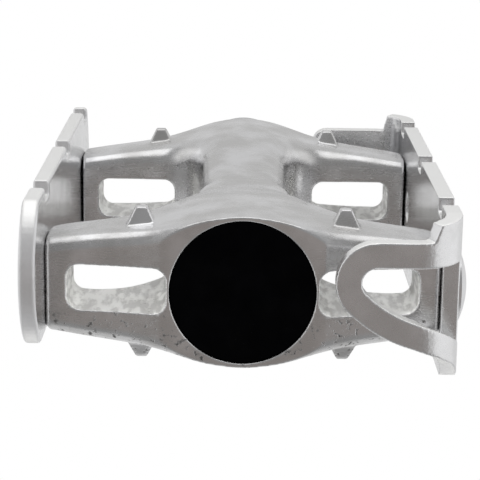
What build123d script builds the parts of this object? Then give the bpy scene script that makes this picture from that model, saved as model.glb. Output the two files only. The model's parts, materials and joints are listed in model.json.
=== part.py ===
from build123d import *

import math
import os

# A track pedal: a cast body between two cage plates, turning on a spindle in two ball bearings.
# Millimetres. The origin is on the spindle's axis at the shoulder that seats on the crank. +Y points along
# the spindle into the crank, +X points forward to the plate with the quill loop, and +Z points up, out of
# the side that the shoe stands on.

# Overall layout
body_mid_y = -56.0  # middle between the two pairs of arms
barrel_outboard = 37.0  # from the middle to the outboard end face
barrel_inboard = 38.0  # from the middle to the inboard end face
cage_inner_width = 58.0  # between the inner faces of the two plates
plate_thickness = 2.5

# Barrel of the body
barrel_radius_outboard = 11.45
barrel_radius_waist = 9.4
barrel_radius_inboard = 12.4
barrel_straight_outboard = 9.0
barrel_straight_inboard = 9.0
barrel_waist_shift = -2.0  # from the middle to the narrowest place

# Arms of the body
arm_pitch = 60.0  # between the centre lines of the arm tips
arm_tip_width = 9.0
arm_tip_height = 14.4
arm_tip_edge = 0.5
end_face_stock = 1.4  # cast stock over the end faces that the machining takes off

# Windows through the arms
window_height = 6.8
window_corner = 1.9
window_end_wall = 3.2  # between a window and the end of its arm
window_outboard_start = 11.2  # from the axis, clear of the cap's seat
window_inboard_start = 12.3  # from the axis, clear of the inboard bearing

# Spikes
spike_x = 15.0
spike_pitch = 62.0
spike_tip_height = 11.5
spike_base_length = 3.9
spike_base_width = 3.2
spike_tip_length = 1.7
spike_tip_width = 1.5
spike_flare = 0.7
spike_rise = 2.3
spike_root = 1.2  # height of the flared root under the spike

# Notches in the top edge of both plates
notch_count = 3
notch_pitch = 31.2
notch_first = -31.5  # outboard wall of the first notch, from the middle
notch_width = 4.8
notch_depth = 2.2
notch_corner = 0.5
plate_edge = 0.35

# Rear plate, flat
rear_top = 14.1
rear_bottom = -7.2
rear_nose_reach = 46.1
rear_nose_shoulder = 39.6
rear_tail_reach = 41.0
rear_tail_shoulder = 37.6
rear_corner = 1.4

# Front plate, one bent sheet as tall as the barrel's inboard end
front_foot_rise = 0.2  # how much higher its lower edge is than the underside of the barrel
front_top = barrel_radius_inboard
front_bottom = front_foot_rise - barrel_radius_inboard
bend_radius = 7.0  # outer radius of both bends
front_bend_outboard = -36.3  # where the outboard bend starts, from the middle
front_bend_inboard = 38.5
flap_top = 9.4
inboard_flap_bottom = -9.4
flap_reach = 13.0  # from the axis to the free end of the inboard flap
flap_corner = 2.6
flap_step_start = 20.0  # angles in the bend between which the top edge steps up
flap_step_end = 30.0
flap_step_fall = 0.5  # how much lower the step stands than the plate's top at the quill loop

# Quill loop, a strip of the same sheet
loop_width = 3.75
loop_centre_x = 19.05
loop_centre_z = 3.45
loop_turn = 135.0  # angle of the round stretch
loop_run_z = -4.35  # middle of the lower run where it enters the bend
loop_foot_low_30 = -7.65  # edges of the lower run in the bend, at 30, 60 and 90 degrees
loop_foot_high_30 = -3.75
loop_foot_low_60 = -9.4
loop_foot_high_60 = -5.4
loop_foot_high_90 = -7.2

# Toe clip holes in the front plate
clip_hole_pitch = 40.0
clip_hole_radius = 2.65

# Cage screws
screw_radius = 2.5
screw_length = 5.0
screw_head_radius = 5.6
screw_head_height = 1.7
screw_head_rim = 0.45  # height of the head at its edge
screw_socket = 3.0
screw_socket_depth = 1.3
screw_hole_radius = 2.7
screw_end_gap = 0.3

# Fits
seat_clearance = 0.02  # between a pressed or screwed piece and its seat
running_clearance = 0.05  # between surfaces that roll or slide on each other
face_gap = 0.3  # between faces that pass each other
cut_over = 1.0  # how far a bore's cut starts outside the face

# Outboard bearing
outboard_bore = 8.0
outboard_diameter = 19.0
outboard_width = 6.0
outboard_balls = 8

# Inboard bearing
inboard_bore = 10.0
inboard_diameter = 22.0
inboard_width = 6.0
inboard_balls = 10

# Both bearings
ball_diameter = 3.175
race_land = 1.0  # from the pitch radius to the shoulder of either ring
cage_width = 4.2
cage_land_gap = 0.2
bearing_seal_thickness = 0.5
ring_edge = 0.3

# Inboard mouth of the barrel
mouth_seal_width = 2.2
mouth_seal_recess = 0.3
mouth_seal_lip = 0.9
mouth_seal_rim = 1.2
ring_groove_width = 1.1
ring_groove_depth = 0.5
retaining_ring_height = 1.6
retaining_ring_gap_angle = 30.0
lug_radius = 1.25  # eyes at the ring's ends, for the pliers
lug_hole_radius = 0.55
bore_middle_radius = 7.4

# Cap in the outboard mouth
cap_radius = 10.68
cap_recess = 0.2
cap_thickness = 1.4
cap_edge = 0.25
cap_seat_depth = 3.0
cap_skirt_wall = 1.7
cap_skirt_length = 3.6
cap_ring_section = 0.5
cap_ring_inset = 1.7
cap_ring_groove = 1.2

# Spindle
thread_radius = 7.144
thread_length = 12.5
thread_chamfer = 1.0
shoulder_radius = 9.25
shoulder_width = 1.5
flat_span = 15.0
flat_width = 7.5
neck_radius = 6.5
dust_flange_radius = 10.2
dust_flange_width = 2.4
dust_flange_edge = 0.6
shoulder_edge = 0.5
spindle_end_edge = 0.5
seal_land_radius = 7.4
sleeve_wall = 1.5
sleeve_length = 14.0
nut_flat_span = 12.0
nut_height = 4.0
washer_radius = 5.6
washer_thickness = 0.8
spindle_end_reach = 0.6  # how far the spindle stands out of the nut
centre_hole_radius = 1.6
centre_hole_depth = 2.2

# Worked out from the sizes above
plate_inner_x = cage_inner_width / 2
plate_outer_x = plate_inner_x + plate_thickness
bend_centre_x = plate_outer_x - bend_radius
bend_inner_radius = bend_radius - plate_thickness
outboard_face_y = body_mid_y - barrel_outboard
inboard_face_y = body_mid_y + barrel_inboard
arm_tip_outer = (arm_pitch + arm_tip_width) / 2
arm_tip_inner = (arm_pitch - arm_tip_width) / 2
ball_radius = ball_diameter / 2
race_radius = ball_radius + running_clearance
cap_seat_radius = cap_radius + seat_clearance
outboard_seat_radius = outboard_diameter / 2
inboard_seat_radius = inboard_diameter / 2
ring_groove_y = inboard_face_y - mouth_seal_recess - mouth_seal_width
inboard_bearing_top = ring_groove_y - ring_groove_width
inboard_bearing_y = inboard_bearing_top - inboard_width / 2
inboard_step_y = inboard_bearing_top - inboard_width
cap_face_y = outboard_face_y + cap_recess
cap_back_y = cap_face_y + cap_thickness
spindle_end_y = cap_back_y + face_gap
nut_outer_y = spindle_end_y + spindle_end_reach
washer_outer_y = nut_outer_y + nut_height
outboard_bearing_low = washer_outer_y + washer_thickness
outboard_bearing_y = outboard_bearing_low + outboard_width / 2
outboard_step_y = outboard_bearing_low + outboard_width
sleeve_end_y = outboard_step_y + sleeve_length
journal_outboard = outboard_bore / 2 - seat_clearance
journal_inboard = inboard_bore / 2 - seat_clearance
spindle_flange_low = inboard_face_y + face_gap

# Sections of an arm from the barrel's middle to the tip. Each gives the share of the reach, and at that
# share the face away from the middle, the face towards it, half the height and the two corner radii.
outboard_sections = (
    (0.00, barrel_outboard + end_face_stock, 4.0, barrel_radius_outboard - 0.05, 1.0, 8.5),
    (0.17, barrel_outboard + 1.2, 6.0, 10.9, 1.4, 9.0),
    (0.35, barrel_outboard + 0.4, 12.0, 9.75, 2.2, 8.2),
    (0.52, barrel_outboard - 0.7, 19.6, 8.9, 2.6, 5.0),
    (0.76, barrel_outboard - 1.8, 23.4, 8.1, 2.6, 3.2),
    (1.00, arm_tip_outer, arm_tip_inner, arm_tip_height / 2, 2.6, 2.8),
)
inboard_sections = (
    (0.00, barrel_inboard + end_face_stock, 4.0, barrel_radius_inboard - 0.05, 1.0, 9.0),
    (0.17, barrel_inboard + 1.2, 6.0, 11.7, 1.4, 9.4),
    (0.35, barrel_inboard + 0.2, 12.0, 10.3, 2.4, 8.2),
    (0.52, barrel_inboard - 1.5, 19.6, 9.2, 2.6, 4.8),
    (0.76, barrel_inboard - 2.8, 23.4, 8.25, 2.6, 3.0),
    (1.00, arm_tip_outer, arm_tip_inner, arm_tip_height / 2, 2.6, 2.6),
)


def save(piece, label):
    """Label a finished sub-part and write it as a STEP file."""
    piece.part.label = label
    export_step(piece.part, f"parts/{label}.step")


def arm_section(x, side, outer, inner, half_height, outer_round, inner_round):
    """One upright section of an arm, on the plane at x, with its own radius on each pair of corners."""
    middle = body_mid_y + side * (outer + inner) / 2
    with BuildSketch(Plane.YZ.offset(x)) as section:
        with Locations((middle, 0)):
            Rectangle(outer - inner, 2 * half_height)
        corners = section.vertices().group_by(Axis.X)
        fillet(corners[0 if side < 0 else -1], outer_round)
        corners = section.vertices().group_by(Axis.X)
        fillet(corners[-1 if side < 0 else 0], inner_round)
    return section.sketch


def arm_pair(side, sections):
    """The two arms of one end, as one loft from tip to tip through the barrel."""
    halves = [(-share, sizes) for share, *sizes in reversed(sections[1:])]
    halves += [(share, sizes) for share, *sizes in sections]
    loft([arm_section(share * plate_inner_x, side, *sizes) for share, sizes in halves])


def spikes(side_y):
    """The four spikes of one pair of arms, two on top and two below."""
    base_z = spike_tip_height - spike_rise
    spike_levels = (
        (base_z - spike_root, spike_base_length + 2 * spike_flare, spike_base_width + 2 * spike_flare),
        (base_z, spike_base_length, spike_base_width),
        (spike_tip_height, spike_tip_length, spike_tip_width),
    )
    for side_x in (-1, 1):
        for side_z in (-1, 1):
            levels = []
            for height, length, width in spike_levels:
                with BuildSketch(Plane.XY.offset(side_z * height)) as level:
                    with Locations((side_x * spike_x, body_mid_y + side_y * spike_pitch / 2)):
                        Rectangle(length, width)
                levels.append(level.sketch)
            loft(levels, ruled=True)


def turned(points, mode=Mode.ADD):
    """A solid of revolution about the spindle's axis, from points given as radius and y."""
    with BuildSketch(Plane.XY) as profile:
        with BuildLine():
            Polyline(points, close=True)
        make_face()
    revolve(profile.sketch, axis=Axis.Y, mode=mode)


def notches(top):
    """Cuts the row of notches out of the top edge of a plate that lies in an upright plane along Y."""
    for index in range(notch_count):
        wall = body_mid_y + notch_first + index * notch_pitch
        with Locations((wall + notch_width / 2, top)):
            RectangleRounded(notch_width, 2 * notch_depth, notch_corner, mode=Mode.SUBTRACT)


os.makedirs("parts", exist_ok=True)

# Body casting: barrel and two pairs of arms, then the machined faces, windows and bores
with BuildPart() as pedal_body:
    with BuildSketch(Plane.XY):
        with BuildLine():
            barrel_start = outboard_face_y + barrel_straight_outboard
            barrel_end = inboard_face_y - barrel_straight_inboard
            Polyline(
                (barrel_radius_outboard, barrel_start),
                (barrel_radius_outboard, outboard_face_y),
                (0, outboard_face_y),
                (0, inboard_face_y),
                (barrel_radius_inboard, inboard_face_y),
                (barrel_radius_inboard, barrel_end),
            )
            Spline(
                (barrel_radius_outboard, barrel_start),
                (barrel_radius_waist, body_mid_y + barrel_waist_shift),
                (barrel_radius_inboard, barrel_end),
                tangents=[(0, 1), (0, 1)],
            )
        make_face()
    revolve(axis=Axis.Y)
    arm_pair(-1, outboard_sections)
    arm_pair(1, inboard_sections)
    split(bisect_by=Plane.XZ.offset(-outboard_face_y), keep=Keep.BOTTOM)
    split(bisect_by=Plane.XZ.offset(-inboard_face_y), keep=Keep.TOP)
    tips = pedal_body.faces().filter_by(Axis.X).group_by(Axis.X)
    chamfer(tips[0].edges() + tips[-1].edges(), arm_tip_edge)
    spikes(-1)
    spikes(1)
    for side_y, start in ((-1, window_outboard_start), (1, window_inboard_start)):
        window_length = plate_inner_x - window_end_wall - start
        with BuildSketch(Plane.XZ.offset(-body_mid_y)):
            with Locations((start + window_length / 2, 0), (-start - window_length / 2, 0)):
                RectangleRounded(window_length, window_height, window_corner)
        extrude(amount=-side_y * cage_inner_width, mode=Mode.SUBTRACT)
    turned(
        [
            (0, outboard_face_y - cut_over),
            (cap_seat_radius, outboard_face_y - cut_over),
            (cap_seat_radius, outboard_face_y + cap_seat_depth),
            (outboard_seat_radius, outboard_face_y + cap_seat_depth),
            (outboard_seat_radius, outboard_step_y),
            (bore_middle_radius, outboard_step_y),
            (bore_middle_radius, inboard_step_y),
            (inboard_seat_radius, inboard_step_y),
            (inboard_seat_radius, ring_groove_y - ring_groove_width),
            (inboard_seat_radius + ring_groove_depth, ring_groove_y - ring_groove_width),
            (inboard_seat_radius + ring_groove_depth, ring_groove_y),
            (inboard_seat_radius, ring_groove_y),
            (inboard_seat_radius, inboard_face_y + cut_over),
            (0, inboard_face_y + cut_over),
        ],
        mode=Mode.SUBTRACT,
    )
    for side_x in (-1, 1):
        with BuildSketch(Plane.YZ.offset(side_x * plate_inner_x)):
            with Locations((body_mid_y - arm_pitch / 2, 0), (body_mid_y + arm_pitch / 2, 0)):
                Circle(screw_radius + seat_clearance)
        extrude(amount=-side_x * (screw_length - plate_thickness + screw_end_gap), mode=Mode.SUBTRACT)
save(pedal_body, "pedal_body")

# Rear plate: flat, with a rounded nose and tail
with BuildPart() as rear_cage_plate:
    with BuildSketch(Plane.YZ.offset(-plate_inner_x)) as rear_outline:
        middle_z = (rear_top + rear_bottom) / 2
        nose_y = body_mid_y - rear_nose_shoulder
        tail_y = body_mid_y + rear_tail_shoulder
        with BuildLine():
            Line((nose_y, rear_top), (tail_y, rear_top))
            ThreePointArc((tail_y, rear_top), (body_mid_y + rear_tail_reach, middle_z), (tail_y, rear_bottom))
            Line((tail_y, rear_bottom), (nose_y, rear_bottom))
            ThreePointArc((nose_y, rear_bottom), (body_mid_y - rear_nose_reach, middle_z), (nose_y, rear_top))
        make_face()
        fillet(rear_outline.vertices(), rear_corner)
        notches(rear_top)
    extrude(amount=-plate_thickness)
    flats = rear_cage_plate.faces().filter_by(Axis.X)
    chamfer(flats.edges(), plate_edge)
    with Locations(Plane.YZ.offset(-plate_outer_x)):
        with Locations((body_mid_y - arm_pitch / 2, 0), (body_mid_y + arm_pitch / 2, 0)):
            Hole(screw_hole_radius)
save(rear_cage_plate, "rear_cage_plate")


def bend_point(centre_y, side, radius, angle):
    """A point of a bend in plan, where angle 0 is the flap's end of it and 90 the plate's end."""
    turn = math.radians(angle)
    return (bend_centre_x + radius * math.sin(turn), centre_y + side * radius * math.cos(turn))


def bend_section(centre_y, side, angle, low, high):
    """The upright section of a bent strip at one angle, square to the strip."""
    middle_radius = bend_radius - plate_thickness / 2
    turn = math.radians(angle)
    outward = (math.sin(turn), side * math.cos(turn), 0)
    place = (*bend_point(centre_y, side, middle_radius, angle), (low + high) / 2)
    with BuildSketch(Plane(origin=place, x_dir=outward, z_dir=(outward[1], -outward[0], 0))) as section:
        Rectangle(plate_thickness, high - low)
    return section.sketch


def bend_strip(centre_y, side, levels):
    """A bent strip whose edges run evenly from each level to the next: angle, lower edge, upper edge."""
    middle_radius = bend_radius - plate_thickness / 2
    for first, second in zip(levels, levels[1:]):
        angles = (first[0], (first[0] + second[0]) / 2, second[0])
        with BuildLine() as path:
            ThreePointArc(*[bend_point(centre_y, side, middle_radius, angle) for angle in angles])
        ends = [bend_section(centre_y, side, *level) for level in (first, second)]
        sweep(ends, path=path.line, multisection=True)


# Front plate: plate, two bends, inboard flap and quill loop
with BuildPart() as front_cage_plate:
    outboard_bend_y = body_mid_y + front_bend_outboard
    inboard_bend_y = body_mid_y + front_bend_inboard
    with BuildSketch(Plane.YZ.offset(plate_inner_x)):
        with Locations(((outboard_bend_y + inboard_bend_y) / 2, (front_top + front_bottom) / 2)):
            Rectangle(inboard_bend_y - outboard_bend_y, front_top - front_bottom)
        notches(front_top)
    extrude(amount=plate_thickness)
    with Locations(Plane.YZ.offset(plate_outer_x)):
        with Locations((body_mid_y - arm_pitch / 2, 0), (body_mid_y + arm_pitch / 2, 0)):
            Hole(screw_hole_radius)
        with Locations((body_mid_y - clip_hole_pitch / 2, 0), (body_mid_y + clip_hole_pitch / 2, 0)):
            Hole(clip_hole_radius)

    flap_levels = (
        (0, inboard_flap_bottom, flap_top),
        (flap_step_start, inboard_flap_bottom, flap_top),
        (flap_step_end, front_bottom, front_top),
        (90, front_bottom, front_top),
    )
    bend_strip(inboard_bend_y, 1, flap_levels)
    with BuildSketch(Plane.XZ.offset(-inboard_bend_y - bend_inner_radius)) as flap_outline:
        with Locations(((flap_reach + bend_centre_x) / 2, (flap_top + inboard_flap_bottom) / 2)):
            Rectangle(bend_centre_x - flap_reach, flap_top - inboard_flap_bottom)
        fillet(flap_outline.vertices().group_by(Axis.X)[0], flap_corner)
    extrude(amount=-plate_thickness)

    loop_radius = flap_top - loop_width / 2 - loop_centre_z
    loop_top = loop_centre_z + loop_radius
    loop_window_top = loop_top - loop_width / 2
    with BuildSketch(Plane.XZ.offset(-outboard_bend_y + bend_inner_radius)) as loop_outline:
        with BuildLine() as strip:
            upper = Line((bend_centre_x, loop_top), (loop_centre_x, loop_top))
            turn = JernArc(upper @ 1, (-1, 0), loop_radius, loop_turn)
            lower = TangentArc(turn @ 1, (bend_centre_x, loop_run_z), tangent=turn % 1)
            Line(lower @ 1, lower @ 1 + lower % 1 * loop_width)
        trace(strip.line, loop_width)
        with Locations((bend_centre_x, loop_run_z)):
            Rectangle(2 * loop_width, 4 * loop_width, align=(Align.MIN, Align.CENTER), mode=Mode.SUBTRACT)
        with Locations((bend_centre_x, loop_top)):
            Rectangle(loop_radius, loop_width, align=(Align.MAX, Align.CENTER))
    extrude(amount=plate_thickness)
    upper_levels = (
        (0, loop_window_top, flap_top),
        (flap_step_start, loop_window_top, flap_top),
        (flap_step_end, loop_window_top, front_top - flap_step_fall),
        (90, loop_window_top, front_top),
    )
    bend_strip(outboard_bend_y, -1, upper_levels)
    run_lean = (lower % 1).Y / (lower % 1).X
    run_half = loop_width / 2 * math.hypot(1, run_lean)
    lower_levels = (
        (0, loop_run_z - run_half, loop_run_z + run_half),
        (30, loop_foot_low_30, loop_foot_high_30),
        (60, loop_foot_low_60, loop_foot_high_60),
        (90, front_bottom, loop_foot_high_90),
    )
    bend_strip(outboard_bend_y, -1, lower_levels)
save(front_cage_plate, "front_cage_plate")


def cage_screws(side_x):
    """The two flat-domed screws of one plate, with a hexagon socket, driven in from outside."""
    seat_x = side_x * plate_outer_x
    rim_x = seat_x + side_x * screw_head_rim
    crown_x = seat_x + side_x * screw_head_height
    dome_height = screw_head_height - screw_head_rim
    dome_radius = (screw_head_radius**2 / dome_height + dome_height) / 2
    half_radius = screw_head_radius / 2
    half_x = crown_x - side_x * (dome_radius - math.sqrt(dome_radius**2 - half_radius**2))
    with BuildPart() as screw:
        with BuildSketch(Plane.XY) as profile:
            with BuildLine():
                rim = Polyline(
                    (crown_x, 0),
                    (seat_x - side_x * screw_length, 0),
                    (seat_x - side_x * screw_length, screw_radius),
                    (seat_x, screw_radius),
                    (seat_x, screw_head_radius),
                    (rim_x, screw_head_radius),
                )
                ThreePointArc(rim @ 1, (half_x, half_radius), rim @ 0)
            make_face()
        revolve(axis=Axis.X)
        with BuildSketch(Plane(origin=(crown_x, 0, 0), x_dir=(0, 1, 0), z_dir=(side_x, 0, 0))):
            RegularPolygon(screw_socket / 2, 6, major_radius=False)
        extrude(amount=-screw_socket_depth, mode=Mode.SUBTRACT)
    with BuildPart() as screws:
        with Locations((0, body_mid_y - arm_pitch / 2, 0), (0, body_mid_y + arm_pitch / 2, 0)):
            add(screw.part)
    return screws


for label, side_x in (("rear_cage_screws", -1), ("front_cage_screws", 1)):
    save(cage_screws(side_x), label)


def ball_bearing(name, middle_y, bore, diameter, width, balls):
    """One ball bearing as its separate pieces: two rings, the balls, their cage and two seals."""
    low_y = middle_y - width / 2
    high_y = middle_y + width / 2
    pitch_radius = (bore + diameter) / 4
    inner_land = pitch_radius - race_land
    outer_land = pitch_radius + race_land
    seat_radius = diameter / 2 - seat_clearance
    groove_plane = Plane(origin=(0, middle_y, 0), x_dir=(1, 0, 0), z_dir=(0, 1, 0))
    ball_places = []
    for index in range(balls):
        turn = 2 * math.pi * index / balls
        outward = (math.cos(turn), 0, math.sin(turn))
        place = (pitch_radius * outward[0], middle_y, pitch_radius * outward[2])
        ball_places.append(Plane(origin=place, x_dir=(0, 1, 0), z_dir=outward))

    with BuildPart() as outer_ring:
        turned([(outer_land, low_y), (seat_radius, low_y), (seat_radius, high_y), (outer_land, high_y)])
        rims = outer_ring.edges().filter_by(GeomType.CIRCLE).group_by(SortBy.RADIUS)[-1]
        chamfer(rims, ring_edge)
        with Locations(groove_plane):
            Torus(pitch_radius, race_radius, mode=Mode.SUBTRACT)
    save(outer_ring, f"{name}_outer_ring")

    with BuildPart() as inner_ring:
        turned([(bore / 2, low_y), (inner_land, low_y), (inner_land, high_y), (bore / 2, high_y)])
        with Locations(groove_plane):
            Torus(pitch_radius, race_radius, mode=Mode.SUBTRACT)
    save(inner_ring, f"{name}_inner_ring")

    with BuildPart() as ball_set:
        with Locations(*ball_places):
            Sphere(ball_radius)
    save(ball_set, f"{name}_balls")

    cage_low = middle_y - cage_width / 2
    cage_high = middle_y + cage_width / 2
    with BuildPart() as ball_cage:
        turned(
            [
                (inner_land + cage_land_gap, cage_low),
                (outer_land - cage_land_gap, cage_low),
                (outer_land - cage_land_gap, cage_high),
                (inner_land + cage_land_gap, cage_high),
            ]
        )
        with Locations(*ball_places):
            Cylinder(race_radius, 4 * race_land, mode=Mode.SUBTRACT)
    save(ball_cage, f"{name}_ball_cage")

    with BuildPart() as seals:
        for edge_y, inward in ((low_y, 1), (high_y, -1)):
            face_y = edge_y + inward * seat_clearance
            back_y = face_y + inward * bearing_seal_thickness
            turned(
                [
                    (inner_land + running_clearance, face_y),
                    (outer_land - seat_clearance, face_y),
                    (outer_land - seat_clearance, back_y),
                    (inner_land + running_clearance, back_y),
                ]
            )
    save(seals, f"{name}_bearing_seals")


ball_bearing(
    "outboard", outboard_bearing_y, outboard_bore, outboard_diameter, outboard_width, outboard_balls
)
ball_bearing("inboard", inboard_bearing_y, inboard_bore, inboard_diameter, inboard_width, inboard_balls)

# Open ring in its groove, with a gap to squeeze it through the mouth
with BuildPart() as retaining_ring:
    ring_outer = inboard_seat_radius + ring_groove_depth - seat_clearance
    ring_plane = Plane(
        origin=(0, ring_groove_y - seat_clearance, 0), x_dir=(1, 0, 0), z_dir=(0, -1, 0)
    )
    with BuildSketch(ring_plane):
        Circle(ring_outer)
        Circle(ring_outer - retaining_ring_height, mode=Mode.SUBTRACT)
        half_gap = math.radians(retaining_ring_gap_angle / 2)
        with BuildLine():
            far = 2 * ring_outer
            Polyline(
                (0, 0),
                (far * math.cos(half_gap), far * math.sin(half_gap)),
                (far * math.cos(half_gap), -far * math.sin(half_gap)),
                close=True,
            )
        make_face(mode=Mode.SUBTRACT)
        lug_reach = ring_outer - retaining_ring_height - lug_radius / 2
        lug_turn = retaining_ring_gap_angle / 2 + math.degrees(lug_radius / lug_reach)
        with PolarLocations(lug_reach, 2, start_angle=-lug_turn, angular_range=4 * lug_turn):
            Circle(lug_radius)
            Circle(lug_hole_radius, mode=Mode.SUBTRACT)
    extrude(amount=ring_groove_width - 2 * seat_clearance)
save(retaining_ring, "retaining_ring")

# Rubber seal in the mouth: a pressed rim and a lip that runs on the spindle
with BuildPart() as mouth_seal:
    seal_top_y = inboard_face_y - mouth_seal_recess
    seal_low_y = ring_groove_y + seat_clearance
    turned(
        [
            (seal_land_radius + running_clearance, seal_top_y - mouth_seal_lip),
            (seal_land_radius + running_clearance, seal_top_y),
            (inboard_seat_radius - seat_clearance, seal_top_y),
            (inboard_seat_radius - seat_clearance, seal_low_y),
            (inboard_seat_radius - mouth_seal_rim, seal_low_y),
            (inboard_seat_radius - mouth_seal_rim, seal_top_y - mouth_seal_lip),
        ]
    )
save(mouth_seal, "mouth_seal")

# Cap: a flat disc with a rounded rim, and a skirt that carries the rubber ring
with BuildPart() as dust_cap:
    skirt_radius = outboard_seat_radius - running_clearance
    skirt_end_y = cap_back_y + cap_skirt_length
    groove_y = cap_back_y + cap_ring_inset
    groove_floor = outboard_seat_radius - seat_clearance - 2 * cap_ring_section - seat_clearance
    turned(
        [
            (0, cap_face_y),
            (cap_radius - cap_edge, cap_face_y),
            (cap_radius, cap_face_y + cap_edge),
            (cap_radius, cap_back_y),
            (skirt_radius, cap_back_y),
            (skirt_radius, groove_y),
            (groove_floor, groove_y),
            (groove_floor, groove_y + cap_ring_groove),
            (skirt_radius, groove_y + cap_ring_groove),
            (skirt_radius, skirt_end_y),
            (skirt_radius - cap_skirt_wall, skirt_end_y),
            (skirt_radius - cap_skirt_wall, cap_back_y),
            (0, cap_back_y),
        ]
    )
save(dust_cap, "dust_cap")

with BuildPart() as dust_cap_ring:
    with Locations(Plane(origin=(0, groove_y + cap_ring_groove / 2, 0), z_dir=(0, 1, 0))):
        Torus(outboard_seat_radius - seat_clearance - cap_ring_section, cap_ring_section)
save(dust_cap_ring, "dust_cap_ring")

# Spindle: outboard journal, step, inboard journal, dust flange, neck, wrench flats, shoulder and thread
with BuildPart() as spindle:
    journal_end_y = inboard_bearing_y + inboard_width / 2
    flange_end_y = spindle_flange_low + dust_flange_width
    flat_end_y = -shoulder_width - flat_width
    turned(
        [
            (0, spindle_end_y),
            (journal_outboard - spindle_end_edge, spindle_end_y),
            (journal_outboard, spindle_end_y + spindle_end_edge),
            (journal_outboard, sleeve_end_y),
            (journal_inboard, sleeve_end_y),
            (journal_inboard, journal_end_y),
            (seal_land_radius, journal_end_y),
            (seal_land_radius, spindle_flange_low),
            (dust_flange_radius, spindle_flange_low),
            (dust_flange_radius, flange_end_y - dust_flange_edge),
            (dust_flange_radius - dust_flange_edge, flange_end_y),
            (neck_radius, flange_end_y),
            (neck_radius, flat_end_y),
            (shoulder_radius - shoulder_edge, flat_end_y),
            (shoulder_radius, flat_end_y + shoulder_edge),
            (shoulder_radius, 0),
            (thread_radius, 0),
            (thread_radius, thread_length - thread_chamfer),
            (thread_radius - thread_chamfer, thread_length),
            (0, thread_length),
        ]
    )
    for side_z in (-1, 1):
        flat_cut = shoulder_radius - flat_span / 2
        with Locations((0, (flat_end_y - shoulder_width) / 2, side_z * (flat_span / 2 + flat_cut / 2))):
            Box(2 * shoulder_radius, flat_width, flat_cut, mode=Mode.SUBTRACT)
    for end_y, inward in ((spindle_end_y, 1), (thread_length, -1)):
        turned(
            [(0, end_y), (centre_hole_radius, end_y), (0, end_y + inward * centre_hole_depth)],
            mode=Mode.SUBTRACT,
        )
save(spindle, "spindle")

with BuildPart() as spacer_sleeve:
    sleeve_bore = journal_outboard + seat_clearance
    turned(
        [
            (sleeve_bore, outboard_step_y),
            (sleeve_bore + sleeve_wall, outboard_step_y),
            (sleeve_bore + sleeve_wall, sleeve_end_y),
            (sleeve_bore, sleeve_end_y),
        ]
    )
save(spacer_sleeve, "spacer_sleeve")

with BuildPart() as lock_washer:
    washer_bore = journal_outboard + seat_clearance
    turned(
        [
            (washer_bore, washer_outer_y),
            (washer_radius, washer_outer_y),
            (washer_radius, outboard_bearing_low),
            (washer_bore, outboard_bearing_low),
        ]
    )
save(lock_washer, "lock_washer")

with BuildPart() as lock_nut:
    nut_plane = Plane(origin=(0, nut_outer_y, 0), x_dir=(1, 0, 0), z_dir=(0, 1, 0))
    with BuildSketch(nut_plane):
        RegularPolygon(nut_flat_span / 2, 6, major_radius=False)
        Circle(journal_outboard + seat_clearance, mode=Mode.SUBTRACT)
    extrude(amount=nut_height)
    corner_radius = nut_flat_span / math.sqrt(3)
    flat_radius = nut_flat_span / 2
    corner_cut = corner_radius - flat_radius
    with BuildSketch(Plane.XY) as corner_outline:
        with BuildLine():
            Polyline(
                (0, nut_outer_y),
                (flat_radius, nut_outer_y),
                (corner_radius, nut_outer_y + corner_cut / 2),
                (corner_radius, nut_outer_y + nut_height),
                (0, nut_outer_y + nut_height),
                close=True,
            )
        make_face()
    revolve(corner_outline.sketch, axis=Axis.Y, mode=Mode.INTERSECT)
save(lock_nut, "lock_nut")
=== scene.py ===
import json
import math
from dataclasses import dataclass
from enum import Enum

import bmesh
import bpy
import numpy as np
from mathutils import Matrix, Vector


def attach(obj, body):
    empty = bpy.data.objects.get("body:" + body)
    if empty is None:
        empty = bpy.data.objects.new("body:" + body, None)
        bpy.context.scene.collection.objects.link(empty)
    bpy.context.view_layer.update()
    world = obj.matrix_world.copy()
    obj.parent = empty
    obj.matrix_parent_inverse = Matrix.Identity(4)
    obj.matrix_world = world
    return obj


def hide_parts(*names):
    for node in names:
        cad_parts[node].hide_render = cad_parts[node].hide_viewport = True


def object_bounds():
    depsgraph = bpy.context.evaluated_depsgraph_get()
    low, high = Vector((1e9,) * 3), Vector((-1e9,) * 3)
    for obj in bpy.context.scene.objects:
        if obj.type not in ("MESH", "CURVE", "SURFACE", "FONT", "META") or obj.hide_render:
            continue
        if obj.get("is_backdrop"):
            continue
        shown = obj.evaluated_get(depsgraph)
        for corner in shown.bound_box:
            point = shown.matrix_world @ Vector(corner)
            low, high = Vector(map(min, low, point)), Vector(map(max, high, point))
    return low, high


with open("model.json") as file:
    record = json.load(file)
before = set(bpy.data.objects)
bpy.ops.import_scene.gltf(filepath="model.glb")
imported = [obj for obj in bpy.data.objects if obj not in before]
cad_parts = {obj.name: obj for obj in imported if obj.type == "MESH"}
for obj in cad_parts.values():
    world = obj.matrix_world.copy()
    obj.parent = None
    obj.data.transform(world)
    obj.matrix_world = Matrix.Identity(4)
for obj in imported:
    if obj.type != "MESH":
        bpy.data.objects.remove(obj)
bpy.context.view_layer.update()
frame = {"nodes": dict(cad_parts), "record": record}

MM = 0.001

Material = bpy.types.Material
NodeTree = bpy.types.NodeTree
Object = bpy.types.Object
Socket = bpy.types.NodeSocket
Array = np.ndarray
Colour = tuple[float, float, float, float]
Pair = tuple[float, float]
Place = tuple[float, float, float]
Line = tuple[Pair, ...]
WHITE: Colour = (1.0, 1.0, 1.0, 1.0)
ORIGIN = (0.0, 0.0, 0.0)
EVEN = (1.0, 1.0, 1.0)


def log(text: str) -> None:
    """Prints one line of the build log.

    Args:
        text: what was made or measured.
    """
    print(f"[scene] {text}")


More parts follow.
